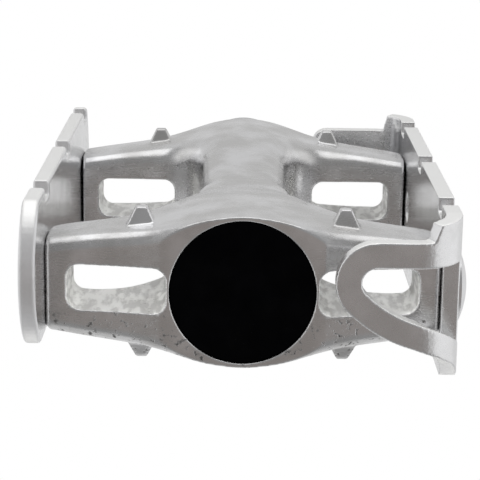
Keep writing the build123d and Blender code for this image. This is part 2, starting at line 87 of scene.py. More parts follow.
class Tree:
    """A small typed wrapper round the node tree of one material, world or node group."""

    def __init__(self, tree: NodeTree) -> None:
        """Keeps the tree and empties it.

        Args:
            tree: the node tree to build in.
        """
        self.tree = tree
        self.tree.nodes.clear()

    def add(self, kind: str, feeds: dict | None = None, **settings: object) -> bpy.types.Node:
        """Makes a node, sets its options and feeds its inputs.

        Args:
            kind: the node's type name.
            feeds: input name or number to a constant or to another node's output.
            **settings: options of the node itself.

        Returns:
            The node.
        """
        node = self.tree.nodes.new(kind)
        for name, value in settings.items():
            setattr(node, name, value)
        for name, value in (feeds or {}).items():
            socket = node.inputs[name]
            if isinstance(value, Socket):
                self.tree.links.new(value, socket)
            else:
                socket.default_value = value
        return node

    def group(self, name: str, **feeds: object) -> bpy.types.Node:
        """Uses a node group.

        Args:
            name: the group's name.
            **feeds: input name to a constant or a socket.

        Returns:
            The group's node.
        """
        return self.add("ShaderNodeGroup", feeds, node_tree=bpy.data.node_groups[name])

    def parts(self, vector: Socket) -> tuple[Socket, ...]:
        """Takes a vector apart.

        Args:
            vector: the vector's socket.

        Returns:
            The sockets of x, y and z.
        """
        return tuple(self.add("ShaderNodeSeparateXYZ", {0: vector}).outputs)

    def maths(self, operation: str, *values: object, clamp: bool = False) -> Socket:
        """One maths step on numbers.

        Args:
            operation: the operation's name.
            *values: constants or sockets, in the order of the node's inputs.
            clamp: whether the answer is kept from 0 to 1.

        Returns:
            The answer's socket.
        """
        node = self.add("ShaderNodeMath", dict(enumerate(values)), operation=operation, use_clamp=clamp)
        return node.outputs[0]

    def more(self, base: object, value: object, share: object, clamp: bool = False) -> Socket:
        """Adds a share of one number to another.

        Args:
            base: the number that grows.
            value: the number of which a share is added.
            share: the share, below 0 to take it away.
            clamp: whether the answer is kept from 0 to 1.

        Returns:
            The socket of base + share value.
        """
        return self.maths("MULTIPLY_ADD", value, share, base, clamp=clamp)

    def vector(self, operation: str, *values: object) -> Socket:
        """One maths step on vectors.

        Args:
            operation: the operation's name.
            *values: constants or sockets, in the order of the node's inputs.

        Returns:
            The vector's socket.
        """
        return self.add("ShaderNodeVectorMath", dict(enumerate(values)), operation=operation).outputs[0]

    def ramp(self, value: object, low: float, high: float, start: float = 0.0, end: float = 1.0) -> Socket:
        """A smooth step of a number from one level to another.

        Args:
            value: the number's socket.
            low: where the step starts.
            high: where it ends.
            start: the level before it.
            end: the level after it.

        Returns:
            The level's socket.
        """
        feeds = {"Value": value, "From Min": low, "From Max": high, "To Min": start, "To Max": end}
        return self.add("ShaderNodeMapRange", feeds, interpolation_type="SMOOTHSTEP").outputs["Result"]

    def mix(self, factor: object, first: object, second: object) -> Socket:
        """A mix of two colours.

        Args:
            factor: share of the second, as a constant or a socket.
            first: the first colour.
            second: the second colour.

        Returns:
            The colour's socket.
        """
        feeds = {0: factor, 6: first, 7: second}
        return self.add("ShaderNodeMix", feeds, data_type="RGBA", blend_type="MIX").outputs[2]

    def noise(self, place: Socket, scale: object, detail: float, rough: float) -> Socket:
        """A field of noise.

        Args:
            place: where it is read.
            scale: how fine it is, in waves to the metre.
            detail: how many finer layers it has.
            rough: how strong they are.

        Returns:
            The level's socket.
        """
        feeds = {"Vector": place, "Scale": scale, "Detail": detail, "Roughness": rough}
        return self.add("ShaderNodeTexNoise", feeds).outputs[0]


def new_group(name: str, **inputs: object) -> tuple[Tree, dict[str, Socket]]:
    """Starts a shader node group with named inputs.

    Args:
        name: the group's name.
        **inputs: input name to its default, a number or a vector.

    Returns:
        The group's tree and its input sockets by name.
    """
    tree = Tree(bpy.data.node_groups.new(name, "ShaderNodeTree"))
    for label, default in inputs.items():
        kind = "NodeSocketFloat" if isinstance(default, float) else "NodeSocketVector"
        tree.tree.interface.new_socket(label, in_out="INPUT", socket_type=kind).default_value = default
    source = tree.add("NodeGroupInput")
    return tree, {label: source.outputs[label] for label in inputs}


def finish_group(tree: Tree, **results: Socket) -> None:
    """Gives a group its outputs, each a number.

    Args:
        tree: the group's tree.
        **results: output name to the socket that feeds it.
    """
    for label in results:
        tree.tree.interface.new_socket(label, in_out="OUTPUT", socket_type="NodeSocketFloat")
    tree.add("NodeGroupOutput", results)


def make_box_mask() -> None:
    """A group whose Mask is 1 inside a box and falls to 0 outside it."""
    tree, given = new_group("BoxMask", Vector=ORIGIN, Centre=ORIGIN, Half=(0.01, 0.01, 0.01), Soft=0.0005)
    away = tree.vector("SUBTRACT", given["Vector"], given["Centre"])
    x, y, z = tree.parts(tree.vector("SUBTRACT", tree.vector("ABSOLUTE", away), given["Half"]))
    furthest = tree.maths("MAXIMUM", tree.maths("MAXIMUM", x, y), z)
    finish_group(tree, Mask=tree.ramp(tree.maths("DIVIDE", furthest, given["Soft"]), 1.0, 0.0))


def make_grain() -> None:
    """A group with the Fine and the Broad unevenness of a metal surface."""
    broad_share = 0.09  # scale of the broad unevenness to the fine one's
    tree, given = new_group("MetalGrain", Vector=ORIGIN, Scale=1500.0, Stretch=EVEN)
    place = tree.vector("MULTIPLY", given["Vector"], given["Stretch"])
    fine = tree.noise(place, given["Scale"], 3.0, 0.6)
    broad = tree.noise(place, tree.maths("MULTIPLY", given["Scale"], broad_share), 4.0, 0.55)
    finish_group(tree, Fine=fine, Broad=broad)


def make_pits() -> None:
    """A group with scattered casting pits in patches, where Pits is 1 at the bottom of a pit."""
    patch_share = 0.16  # scale of the patches to the pits'
    tree, given = new_group("CastPits", Vector=ORIGIN, Scale=900.0, Density=0.5)
    spots = tree.noise(given["Vector"], given["Scale"], 2.0, 0.7)
    patch = tree.noise(given["Vector"], tree.maths("MULTIPLY", given["Scale"], patch_share), 3.0, 0.5)
    there = tree.ramp(tree.maths("ADD", patch, tree.maths("SUBTRACT", given["Density"], 0.5)), 0.42, 0.72)
    finish_group(tree, Pits=tree.maths("MULTIPLY", tree.ramp(spots, 0.56, 0.72), there))


class Slot(Enum):
    """The record's material slots."""

    CAST = "cast_aluminium"
    SHEET = "sheet_aluminium"
    FASTENER = "fastener_steel"
    SPRING = "spring_steel"
    SPINDLE = "spindle_steel"
    BEARING = "bearing_steel"
    BALL = "ball_steel"
    BALL_CAGE = "ball_cage_brass"
    CAP = "cap_plastic"
    RUBBER = "seal_rubber"


@dataclass(frozen=True)
class Finish:
    """What every finish has: its slot, a grain and a relief.

    Scales are in waves to the metre.

    Attributes:
        slot: the record's slot, which also names the material.
        grain_scale: scale of its grain.
        relief: strength of its relief, and how high a height of 1 is in metres.
    """

    slot: Slot
    grain_scale: float = 2400.0
    relief: Pair = (0.25, 0.00005)

    def start(self) -> tuple[Material, Tree, Socket]:
        """Makes an empty material.

        Returns:
            The material, its tree and the Object coordinates.
        """
        material = bpy.data.materials.new(self.slot.value.title().replace("_", ""))
        material.use_nodes = True
        tree = Tree(material.node_tree)
        return material, tree, tree.add("ShaderNodeTexCoord").outputs["Object"]

    def grain(self, tree: Tree, place: Socket, scale: float, stretch: tuple = EVEN) -> list[Socket]:
        """Places the shared grain.

        Args:
            tree: the material's tree.
            place: the Object coordinates.
            scale: how fine the grain is.
            stretch: how much finer it is along each axis.

        Returns:
            The sockets of the fine and the broad unevenness.
        """
        return list(tree.group("MetalGrain", Vector=place, Scale=scale, Stretch=stretch).outputs)

    def close(self, tree: Tree, tone: Socket, rough: Socket, height: Socket, more: dict) -> None:
        """Adds the relief, the Principled shader and the material's output.

        Args:
            tree: the material's tree.
            tone: the colour.
            rough: the roughness.
            height: the relief's height.
            more: further inputs of the Principled shader.
        """
        strength, distance = self.relief
        bump = tree.add("ShaderNodeBump", {"Strength": strength, "Distance": distance, "Height": height})
        feeds = {"Base Color": tone, "Roughness": rough, "Normal": bump.outputs[0], **more}
        shader = tree.add("ShaderNodeBsdfPrincipled", feeds)
        tree.add("ShaderNodeOutputMaterial", {"Surface": shader.outputs[0]})


@dataclass(frozen=True)
class CastFinish(Finish):
    """Polished aluminium casting, with pits low down, rough window floors and painted shade round the end
    cap.

    Places are in metres.

    Attributes:
        bright: colour of the polished metal.
        dull: colour of its duller patches.
        raw: colour of the unpolished window walls.
        stained: colour of the stains on them.
        pitted: colour of the pits.
        painted_shade: colour of the painted shade on the rounded bore edge next to the end cap.
        window_centre: middle of the windows on the front plate's side.
        window_half: half their size, with room along y.
        window_soft: width of their mask's edge.
        cap_seat: radii between which the painted shade fades in.
        end_y: y between which it fades in.
        low_z: heights between which the pits get denser.
        streak_scale: scale of the streaks along the arms.
        stain_scale: scale of the stains in the windows.
        cast_scale: scale of the windows' cast skin.
        pit_scale: scale of the pits.
    """

    bright: Colour = (0.83, 0.83, 0.84, 1.0)
    dull: Colour = (0.66, 0.655, 0.65, 1.0)
    raw: Colour = (0.97, 0.97, 0.95, 1.0)
    stained: Colour = (0.6, 0.595, 0.58, 1.0)
    pitted: Colour = (0.12, 0.117, 0.114, 1.0)
    # Painted shade: a dark ring on the rounded bore edge next to the end cap, standing in for the shade
    # between body and cap.
    painted_shade: Colour = (0.08, 0.08, 0.08, 1.0)
    window_centre: Place = (0.0185, -0.056, 0.0)
    window_half: Place = (0.00755, 0.05, 0.00335)
    window_soft: float = 0.00015
    cap_seat: Pair = (0.0114, 0.01095)
    end_y: Pair = (-0.094, -0.098)
    low_z: Pair = (0.001, -0.007)
    grain_scale: float = 1600.0
    relief: Pair = (0.55, 0.00012)
    streak_scale: float = 2600.0
    stain_scale: float = 9000.0
    cast_scale: float = 900.0
    pit_scale: float = 1100.0

    def masks(self, tree: Tree, place: Socket) -> tuple[Socket, Socket]:
        """Masks the unpolished window walls and the painted shade round the end cap.

        Args:
            tree: the material's tree.
            place: the Object coordinates.

        Returns:
            Masks of the windows' walls, without the faces that look along the spindle, and of the painted
            shade round the end cap.
        """
        x, y, z = tree.parts(place)
        mirrored = tree.add("ShaderNodeCombineXYZ", {0: tree.maths("ABSOLUTE", x), 1: y, 2: z}).outputs[0]
        box = {"Centre": self.window_centre, "Half": self.window_half, "Soft": self.window_soft}
        inside = tree.group("BoxMask", Vector=mirrored, **box).outputs[0]
        along = tree.parts(tree.vector("ABSOLUTE", tree.add("ShaderNodeTexCoord").outputs["Normal"]))[1]
        windows = tree.maths("MULTIPLY", inside, tree.ramp(along, 0.6, 0.35))

        across = tree.vector("MULTIPLY", place, (1.0, 0.0, 1.0))
        reach = tree.add("ShaderNodeVectorMath", {0: across}, operation="LENGTH").outputs["Value"]
        # Painted shade mask: the ring of the bore's rounded edge right next to the end cap.
        painted_cap_shade = tree.maths("MULTIPLY", tree.ramp(reach, *self.cap_seat), tree.ramp(y, *self.end_y))
        return windows, painted_cap_shade

    def material(self) -> Material:
        """Builds the material.

        Returns:
            The material.
        """
        material, tree, place = self.start()
        fine, broad = self.grain(tree, place, self.grain_scale)
        streaks, _ = self.grain(tree, place, self.streak_scale, (0.12, 1.0, 1.0))
        _, stains = self.grain(tree, place, self.stain_scale, (1.0, 0.3, 1.0))
        cast, _ = self.grain(tree, place, self.cast_scale)
        windows, painted_cap_shade = self.masks(tree, place)
        z = tree.parts(place)[2]
        low = tree.ramp(z, *self.low_z)
        density = tree.more(tree.more(0.18, low, 0.6), windows, -0.1)
        pits = tree.group("CastPits", Vector=place, Scale=self.pit_scale, Density=density).outputs[0]

        tone = tree.mix(tree.ramp(broad, 0.35, 0.7), self.dull, self.bright)
        tone = tree.mix(windows, tone, tree.mix(tree.ramp(stains, 0.38, 0.6), self.stained, self.raw))
        tone = tree.mix(tree.maths("MULTIPLY", pits, tree.more(0.5, low, 0.35)), tone, self.pitted)
        # Painted shade: darkens the bore edge next to the end cap so that it shows no highlight.
        tone = tree.mix(tree.maths("MULTIPLY", painted_cap_shade, 0.85), tone, self.painted_shade)

        rough = tree.ramp(broad, 0.3, 0.75, 0.27, 0.16)
        rough = tree.maths("ADD", rough, tree.ramp(streaks, 0.3, 0.8, 0.0, 0.1))
        rough = tree.more(tree.more(rough, windows, 0.26), pits, 0.3, clamp=True)

        seam = tree.ramp(tree.maths("ABSOLUTE", z), 0.00022, 0.00003)
        height = tree.more(tree.maths("MULTIPLY", fine, 0.12), broad, 0.6)
        height = tree.more(tree.more(height, pits, -0.8), seam, -0.1)
        height = tree.more(height, cast, tree.maths("MULTIPLY", windows, 0.8))
        self.close(tree, tone, rough, height, {"Metallic": tree.more(1.0, windows, -0.8)})
        return material


@dataclass(frozen=True)
class SheetFinish(Finish):
    """Aluminium sheet, tumbled and lightly polished, with faint streaks and specks.

    Attributes:
        bright: colour of the metal.
        dull: colour of its duller patches.
        sheared: colour of the sheared edges that face up and down.
        specked: colour of the specks.
        rough: how rough the flat faces are.
        streak_scale: scale of the streaks along the plates.
        speck_scale: scale of the specks.
    """

    bright: Colour = (0.84, 0.84, 0.85, 1.0)
    dull: Colour = (0.74, 0.74, 0.745, 1.0)
    sheared: Colour = (0.84, 0.84, 0.83, 1.0)
    specked: Colour = (0.3, 0.3, 0.3, 1.0)
    rough: float = 0.15
    grain_scale: float = 2200.0
    relief: Pair = (0.35, 0.0001)
    streak_scale: float = 1900.0
    speck_scale: float = 1300.0

    def material(self) -> Material:
        """Builds the material.

        Returns:
            The material.
        """
        material, tree, place = self.start()
        fine, broad = self.grain(tree, place, self.grain_scale)
        fine_streaks, broad_streaks = self.grain(tree, place, self.streak_scale, (1.0, 0.15, 1.0))
        specks = tree.group("CastPits", Vector=place, Scale=self.speck_scale, Density=0.22).outputs[0]
        facing = tree.vector("ABSOLUTE", tree.add("ShaderNodeTexCoord").outputs["Normal"])
        _, along, upward = tree.parts(facing)
        rear = tree.ramp(tree.parts(place)[0], 0.0, -0.001)
        nose = tree.maths("MULTIPLY", rear, tree.ramp(along, 0.3, 0.7))
        rim = tree.ramp(upward, 0.5, 0.85)

        tone = tree.mix(tree.ramp(broad, 0.3, 0.7), self.dull, self.bright)
        tone = tree.mix(tree.maths("MULTIPLY", specks, 0.35), tone, self.specked)
        tone = tree.mix(tree.maths("MULTIPLY", rim, 0.9), tone, self.sheared)

        rough = tree.ramp(fine_streaks, 0.25, 0.75, self.rough - 0.03, self.rough + 0.05)
        rough = tree.more(tree.more(rough, along, 0.13), tree.maths("MAXIMUM", rim, nose), 0.28)
        rough = tree.more(rough, specks, 0.2, clamp=True)

        height = tree.more(tree.more(fine, broad, 1.6), broad_streaks, 1.2)
        height = tree.more(height, specks, -1.2)
        matt = tree.maths("MAXIMUM", tree.maths("MULTIPLY", rim, 0.45), tree.maths("MULTIPLY", nose, 0.04))
        self.close(tree, tone, rough, height, {"Metallic": tree.maths("SUBTRACT", 1.0, matt)})
        return material


@dataclass(frozen=True)
class SteelFinish(Finish):
    """Turned or ground metal, with fine marks round the spindle's axis.

    Attributes:
        tone: colour of the metal.
        rough: how rough it is.
        marks: how strongly the turning marks show.
        shade: how bright its darker patches are to the rest.
        mark_scale: scale of the turning marks.
    """

    tone: Colour = (0.62, 0.62, 0.64, 1.0)
    rough: float = 0.25
    marks: float = 0.3
    shade: float = 0.82
    grain_scale: float = 1800.0
    relief: Pair = (0.3, 0.00008)
    mark_scale: float = 3000.0

    def material(self) -> Material:
        """Builds the material.

        Returns:
            The material.
        """
        material, tree, place = self.start()
        _, broad = self.grain(tree, place, self.grain_scale)
        turning, _ = self.grain(tree, place, self.mark_scale, (0.03, 1.0, 0.03))
        dark = (*(part * self.shade for part in self.tone[:3]), 1.0)
        tone = tree.mix(tree.ramp(broad, 0.3, 0.7), dark, self.tone)
        rough = tree.ramp(turning, 0.25, 0.75, self.rough - 0.05, self.rough + 0.08)
        self.close(tree, tone, rough, tree.more(broad, turning, self.marks), {"Metallic": 1.0})
        return material


@dataclass(frozen=True)
class MouldedFinish(Finish):
    """Moulded plastic or rubber with a fine matt texture.

    Attributes:
        tone: colour.
        rough: how rough it is.
        shine: specular level.
        shade: how bright its paler patches are to the rest.
    """

    tone: Colour = (0.0006, 0.0006, 0.0007, 1.0)
    rough: float = 0.8
    shine: float = 0.0
    shade: float = 1.6

    def material(self) -> Material:
        """Builds the material.

        Returns:
            The material.
        """
        material, tree, place = self.start()
        fine, broad = self.grain(tree, place, self.grain_scale)
        pale = (*(part * self.shade for part in self.tone[:3]), 1.0)
        tone = tree.mix(tree.ramp(broad, 0.35, 0.75), self.tone, pale)
        rough = tree.ramp(fine, 0.2, 0.8, self.rough - 0.06, self.rough + 0.06)
        self.close(tree, tone, rough, fine, {"Specular IOR Level": self.shine})
        return material


def make_finishes() -> dict[Slot, Material]:
    """Builds every material once.

    Returns:
        The material of each slot.
    """
    make_box_mask()
    make_grain()
    make_pits()
    pale = (0.86, 0.86, 0.87, 1.0)
    finishes = (
        CastFinish(Slot.CAST),
        SheetFinish(Slot.SHEET),
        SteelFinish(Slot.FASTENER, tone=pale, rough=0.28, marks=0.2),
        SteelFinish(Slot.SPRING, tone=(0.13, 0.13, 0.135, 1.0), rough=0.4, marks=0.1),
        SteelFinish(Slot.SPINDLE),
        SteelFinish(Slot.BEARING, tone=(0.5, 0.5, 0.51, 1.0), rough=0.16, marks=0.4),
        SteelFinish(Slot.BALL, tone=pale, rough=0.08, marks=0.05),
        SteelFinish(Slot.BALL_CAGE, tone=(0.72, 0.53, 0.24, 1.0), rough=0.3, marks=0.3),
        MouldedFinish(Slot.CAP),
        MouldedFinish(Slot.RUBBER, tone=(0.02, 0.02, 0.021, 1.0), rough=0.7, shine=0.2),
    )
    return {finish.slot: finish.material() for finish in finishes}


def mesh_object(name: str, points: Array, faces: Array, lids: bool = False) -> Object:
    """Makes an object from vertex and quad arrays, and closes its poles and seams.

    Args:
        name: the object's name.
        points: vertices in millimetres, one per row.
        faces: four vertex numbers per row.
        lids: whether lids close its open ends.

    Returns:
        The object, at the origin.
    """
    mesh = bpy.data.meshes.new(name)
    mesh.vertices.add(len(points))
    mesh.vertices.foreach_set("co", (points * MM).astype(np.float32).ravel())
    mesh.loops.add(faces.size)
    mesh.loops.foreach_set("vertex_index", faces.astype(np.int32).ravel())
    mesh.polygons.add(len(faces))
    mesh.polygons.foreach_set("loop_start", np.arange(0, faces.size, 4, dtype=np.int32))
    mesh.update(calc_edges=True)
    work = bmesh.new()
    work.from_mesh(mesh)
    bmesh.ops.remove_doubles(work, verts=work.verts, dist=1e-7)
    bmesh.ops.recalc_face_normals(work, faces=work.faces)
    if lids:
        bmesh.ops.holes_fill(work, edges=[edge for edge in work.edges if edge.is_boundary])
        bmesh.ops.triangulate(work, faces=work.faces)
        bmesh.ops.recalc_face_normals(work, faces=work.faces)
    work.to_mesh(mesh)
    work.free()
    piece = bpy.data.objects.new(name, mesh)
    bpy.context.scene.collection.objects.link(piece)
    return piece


def ring_object(name: str, rings: Array, lids: bool = True) -> Object:
    """Makes an object from closed rings of points, one after the other.

    Args:
        name: the object's name.
        rings: points in millimetres, by ring and by place in the ring.
        lids: whether lids close the first and the last ring.

    Returns:
        The object, at the origin.
    """
    rows, columns = rings.shape[:2]
    row, column = np.meshgrid(np.arange(rows - 1), np.arange(columns), indexing="ij")
    here, above = row * columns, (row + 1) * columns
    after = (column + 1) % columns
    faces = np.stack((here + column, here + after, above + after, above + column), axis=-1)
    return mesh_object(name, rings.reshape(-1, 3), faces.reshape(-1, 4), lids)


def smooth_step(value: Array) -> Array:
    """Goes smoothly from 0 to 1 as the value does.

    Args:
        value: any numbers.

    Returns:
        3 v^2 - 2 v^3, with v kept from 0 to 1.
    """
    kept = np.clip(value, 0.0, 1.0)
    return kept * kept * (3 - 2 * kept)


@dataclass
class Wearer:
    """What every sub-assembly has: its CAD body and how it dresses a piece.

    Attributes:
        body: the CAD body that the piece rides on.
        slot: the record's slot.
        materials: the material of each slot.
    """

    body: str
    slot: Slot
    materials: dict[Slot, Material]

    def dress(self, piece: Object, replaced: str | None = None) -> None:
        """Gives a piece its finish, and a new piece its body and the CAD node that it stands for.

        Args:
            piece: the piece.
            replaced: the node that a new piece replaces.
        """
        piece.data.materials.clear()
        piece.data.materials.append(self.materials[self.slot])
        if replaced:
            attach(piece, self.body)
            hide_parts(replaced)
        log(f"{piece.name}: {self.slot.value}, {len(piece.data.polygons)} faces")


@dataclass
class CadNode(Wearer):
    """A CAD node shown as it is, with its own finish.

    Attributes:
        node: the node's name.
    """

    node: str

    def build(self) -> None:
        """Gives the node its finish."""
        self.dress(frame["nodes"][self.node])


@dataclass
class Rounded(Wearer):
    """A copy of a CAD node with its edges rounded by a fine remesh.

    Attributes:
        node: the node's name.
        voxel: grain of the rounding, in metres.
        passes: how often the surface is evened out.
        triangles: about how many triangles are kept.
    """

    node: str
    voxel: float = 0.0002
    passes: int = 5
    triangles: int = 80000

    def settle(self, piece: Object) -> None:
        """Applies the piece's modifiers to its mesh.

        Args:
            piece: the piece.
        """
        old = piece.data
        graph = bpy.context.evaluated_depsgraph_get()
        piece.data = bpy.data.meshes.new_from_object(piece.evaluated_get(graph))
        piece.modifiers.clear()
        bpy.data.meshes.remove(old)

    def copy(self) -> Object:
        """Copies the CAD node and closes the seams between its triangles.

        Returns:
            The copy.
        """
        mesh = frame["nodes"][self.node].data.copy()
        work = bmesh.new()
        work.from_mesh(mesh)
        bmesh.ops.remove_doubles(work, verts=work.verts, dist=1e-6)
        work.to_mesh(mesh)
        work.free()
        piece = bpy.data.objects.new(f"{self.node}_finished", mesh)
        bpy.context.scene.collection.objects.link(piece)
        return piece

    def carve(self, piece: Object, tools: dict[Object, str]) -> None:
        """Joins solids to the piece or cuts them from it, in order, and removes them.

        Args:
            piece: the copy.
            tools: each solid, with the boolean operation's name.
        """
        for tool, operation in tools.items():
            join = piece.modifiers.new(tool.name, "BOOLEAN")
            join.operation = operation
            join.solver = "MANIFOLD"
            join.object = tool
        self.settle(piece)
        for tool in tools:
            bpy.data.objects.remove(tool)

    def shape(self, piece: Object) -> None:
        """Changes the copy before its edges are rounded.

        Args:
            piece: the copy.
        """

    def refine(self, piece: Object) -> None:
        """Changes the remeshed copy before it is evened out.

        Args:
            piece: the copy.
        """

    def build(self) -> None:
        """Copies the node, shapes it, rounds its edges, thins the flat places and dresses it."""
        piece = self.copy()
        self.shape(piece)
        remesh = piece.modifiers.new("round", "REMESH")
        remesh.mode = "VOXEL"
        remesh.voxel_size = self.voxel
        self.settle(piece)
        self.refine(piece)
        even = piece.modifiers.new("even", "SMOOTH")
        even.factor = 0.5
        even.iterations = self.passes
        self.settle(piece)
        thin = piece.modifiers.new("thin", "DECIMATE")
        thin.ratio = min(1.0, self.triangles / (2 * len(piece.data.polygons)))
        self.settle(piece)
        piece.data.shade_smooth()
        self.dress(piece, self.node)


@dataclass
class CastBody(Rounded):
    """The cast body with its waist: an upright-walled bar with rounded edges between the two pairs of arms.

    Sizes are in millimetres, apart from the voxel. y is counted from the middle, towards the crank.

    Attributes:
        middle: y of the middle between the pairs of arms, in the frame.
        waist_half: half the width between the upright walls.
        crest: y and height of the top at the outboard end, the waist and the inboard end.
        crown: how fast the top falls off to the sides.
        crown_half: how far to the side it falls off.
        top_half: how far to the side metal is brought down to the top.
        top_y: from where to where along the body it is.
        corner: radius of the upright corners.
        arm_y: inner face of the inboard arms.
        arm_tip: x of the arms' tips.
        arm_draft: how far the inner face leans back at the tip.
        arm_top: x and height of the arms' upper edge.
        opening_y: where the pocket starts to widen, and over how much.
        opening_half: how much it widens.
        opening_power: how late it widens.
        arm_edge: radius of the rounded edge along the arms.
        waist_edge: the same round the corners and along the waist.
        edge_x: x from which the radius grows towards the waist, and over how much.
        edge_y: y from which the radius falls again, and over how much.
        edge_loss: share of the radius that it loses.
        room: how far the tool reaches past the metal, sideways and up.
        bore_radius: radius kept clear round the spindle.
        bore_y: ends of the cleared bore.
        bar_y: ends of the waist's bar.
        bar_half: y and half the bar's width.
        bar_power: y and the power of the bar's section.
        bar_drop: how far the bar lies below the top, everywhere and outboard.
        bar_drop_y: where the second drop starts, and over how much it grows.
    """

    voxel: float = 0.00023
    passes: int = 6
    triangles: int = 190000
    middle: float = -56.0
    waist_half: float = 7.15
    crest: Line = ((-28.0, 11.45), (-2.0, 9.4), (29.0, 12.4))
    crown: float = 0.015
    crown_half: float = 10.0
    top_half: float = 12.0
    top_y: Pair = (-28.0, 32.0)
    corner: float = 8.0
    arm_y: float = 24.2
    arm_tip: float = 31.0
    arm_draft: float = 0.48
    arm_top: Line = ((5.0, 11.7), (10.15, 10.3), (15.1, 9.2), (22.0, 8.25), (29.0, 7.2))
    opening_y: Pair = (2.0, -14.3)
    opening_half: float = 3.15
    opening_power: float = 2.7
    arm_edge: float = 2.7
    waist_edge: float = 4.4
    edge_x: Pair = (21.0, 11.0)
    edge_y: Pair = (1.5, 13.0)
    edge_loss: float = 0.95
    room: Pair = (3.0, 6.0)
    bore_radius: float = 5.9
    bore_y: Pair = (-27.5, 25.5)
    bar_y: Pair = (-26.0, 24.0)
    bar_half: Line = ((-26.0, 9.4), (-14.0, 9.3), (-5.0, 8.4), (2.0, 7.7), (18.0, 7.7), (24.0, 8.0))
    bar_power: Line = ((-26.0, 2.0), (-10.0, 2.6), (2.0, 6.0), (24.0, 6.0))
    bar_drop: Pair = (0.05, 0.6)
    bar_drop_y: Pair = (-12.0, 12.0)

    def top(self, x: Array, y: Array) -> Array:
        """Height of the top over the waist.

        Along the middle it is the waist's height plus the rise to either end times a smooth step of y, and
        to the sides it falls by crown x^2, but no further than at crown_half.

        Args:
            x: distance to the side.
            y: distance from the middle.

        Returns:
            The height at each place.
        """
        (outboard, high), (middle, low), (inboard, highest) = self.crest
        rise = (high - low) * smooth_step((middle - y) / (middle - outboard))
        rise = rise + (highest - low) * smooth_step((y - middle) / (inboard - middle))
        return low + rise - self.crown * np.minimum(np.abs(x), self.crown_half) ** 2

    def foot(self) -> Array:
        """The foot line of one pocket's wall in plan, from the inboard arm's tip to the outboard arm.

        It runs along the arm's inner face, turns through a quarter circle to the waist and follows it. Then
        it opens out by opening_half times a power of the share of the way.

        Returns:
            One point per row.
        """
        centre = np.array([self.waist_half + self.corner, self.arm_y - self.corner])
        start, reach = self.opening_y
        x = np.linspace(self.arm_tip, centre[0] + 0.5, 24)
        arm = np.stack((x, self.arm_y + np.linspace(self.arm_draft, 0.0, 24)), axis=-1)
        turn = np.linspace(0.0, math.pi / 2, 24)
        corner = centre + self.corner * np.stack((-np.sin(turn), np.cos(turn)), axis=-1)
        y = np.linspace(centre[1] - 0.8, start + 1.0, 14)
        waist = np.stack((np.full(14, self.waist_half), y), axis=-1)
        way = np.linspace(0.0, 1.0, 24)
        spread = self.opening_half * way**self.opening_power
        opening = np.stack((self.waist_half + spread, start + reach * way), axis=-1)
        return np.concatenate((arm, corner, waist, opening))

    def cutter(self, side: int) -> Object:
        """The tool that clears one pocket, flared at its top and bottom so that the metal's edge is round.

        The edge's radius r grows from the arm to the waist and dies away towards the outboard arm. At angle
        t the tool's wall is r (1 - cos t) into the metal and at height h - r (1 - sin t), where h is the
        height of the metal at the edge.

        Args:
            side: -1 for the rear pocket, 1 for the front one.

        Returns:
            The closed tool.
        """
        line = self.foot()
        along = np.gradient(line, axis=0)
        along /= np.linalg.norm(along, axis=1, keepdims=True)
        normal = np.stack((along[:, 1], -along[:, 0]), axis=-1)

        (edge_x, over_x), (edge_y, over_y) = self.edge_x, self.edge_y
        growth = smooth_step((edge_x - line[:, 0]) / over_x)
        loss = self.edge_loss * smooth_step((edge_y - line[:, 1]) / over_y)
        edge = (self.arm_edge + (self.waist_edge - self.arm_edge) * growth) * (1.0 - loss)
        inner = line + edge[:, None] * normal
        height = np.minimum(np.interp(inner[:, 0], *zip(*self.arm_top)), self.top(inner[:, 0], inner[:, 1]))

        aside, upward = self.room
        turn = np.linspace(0.0, math.pi / 2, 14)[:, None]
        inward = np.concatenate((edge * (1 - np.cos(turn)), [edge + 0.1, edge + 0.5]))
        level = np.concatenate((height - edge * (1 - np.sin(turn)), [height + 0.1, height + upward]))
        inward = np.concatenate((inward[::-1], inward))
        level = np.concatenate((-level[::-1], level))
        rings = np.concatenate((line[None] + inward[..., None] * normal[None], level[..., None]), axis=-1)
        ends = rings[:, [-1, 0]].copy()
        ends[..., 0] = self.arm_tip + aside
        rings = np.concatenate((rings, ends), axis=1)
        rings[..., 0] *= side
        rings[..., 1] += self.middle
        return ring_object("pocket_tool", rings)

    def bar(self) -> Object:
        """The bar of the waist, as rounded sections along the spindle.

        Each section is a superellipse |x / a|^n + |z / b|^n = 1 with its own half width a, half height b and
        power n.

        Returns:
            The closed bar.
        """
        y = np.linspace(*self.bar_y, 60)
        always, outboard = self.bar_drop
        start, over = self.bar_drop_y
        half = np.interp(y, *zip(*self.bar_half))[:, None]
        tall = (self.top(np.zeros_like(y), y) - always - outboard * smooth_step((start - y) / over))[:, None]
        power = np.interp(y, *zip(*self.bar_power))[:, None]
        turn = np.linspace(0.0, 2 * math.pi, 96, endpoint=False)[None, :]
        reach = (np.abs(np.cos(turn)) ** power + np.abs(np.sin(turn)) ** power) ** (-1 / power)
        x = half * reach * np.cos(turn)
        z = tall * reach * np.sin(turn)
        y = np.broadcast_to(y[:, None] + self.middle, x.shape)
        return ring_object("waist_bar", np.stack((x, y, z), axis=-1))

    def shape(self, piece: Object) -> None:
        """Adds the waist's bar, then clears the bore again and both pockets.

        Args:
            piece: the copy of the body.
        """
        tools = {self.bar(): "UNION"}
        turn = np.linspace(0.0, 2 * math.pi, 96, endpoint=False)
        ring = np.stack((np.cos(turn), np.zeros_like(turn), np.sin(turn)), axis=-1) * self.bore_radius
        bore = ring_object("bore_tool", np.stack([ring + (0.0, y + self.middle, 0.0) for y in self.bore_y]))
        tools.update({tool: "DIFFERENCE" for tool in (bore, self.cutter(-1), self.cutter(1))})
        self.carve(piece, tools)

